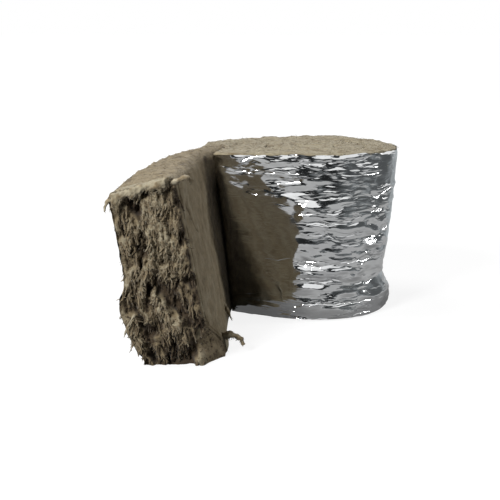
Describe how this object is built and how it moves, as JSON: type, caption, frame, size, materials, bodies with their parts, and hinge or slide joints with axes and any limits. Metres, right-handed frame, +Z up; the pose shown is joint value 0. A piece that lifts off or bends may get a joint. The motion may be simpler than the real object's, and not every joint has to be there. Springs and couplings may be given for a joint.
{
  "type": "insulation roll",
  "caption": "Foil-faced mineral wool insulation mat wound into a roll standing on end, its torn free end peeled open and swollen.",
  "frame": {"origin": "middle of the footprint of the whole object, on the floor", "axes": "+Z up along the winding axis, the free end runs from the roll towards -Y"},
  "size_m": [0.2339, 0.335, 0.15],
  "materials": {
    "wool": "matt grey-brown mineral fibre, fluffy and torn at the cut end",
    "foil": "bright, crinkled foil"
  },
  "bodies": {
    "root": {"wool_mat": "wool", "foil_facing": "foil"}
  },
  "joints": []
}
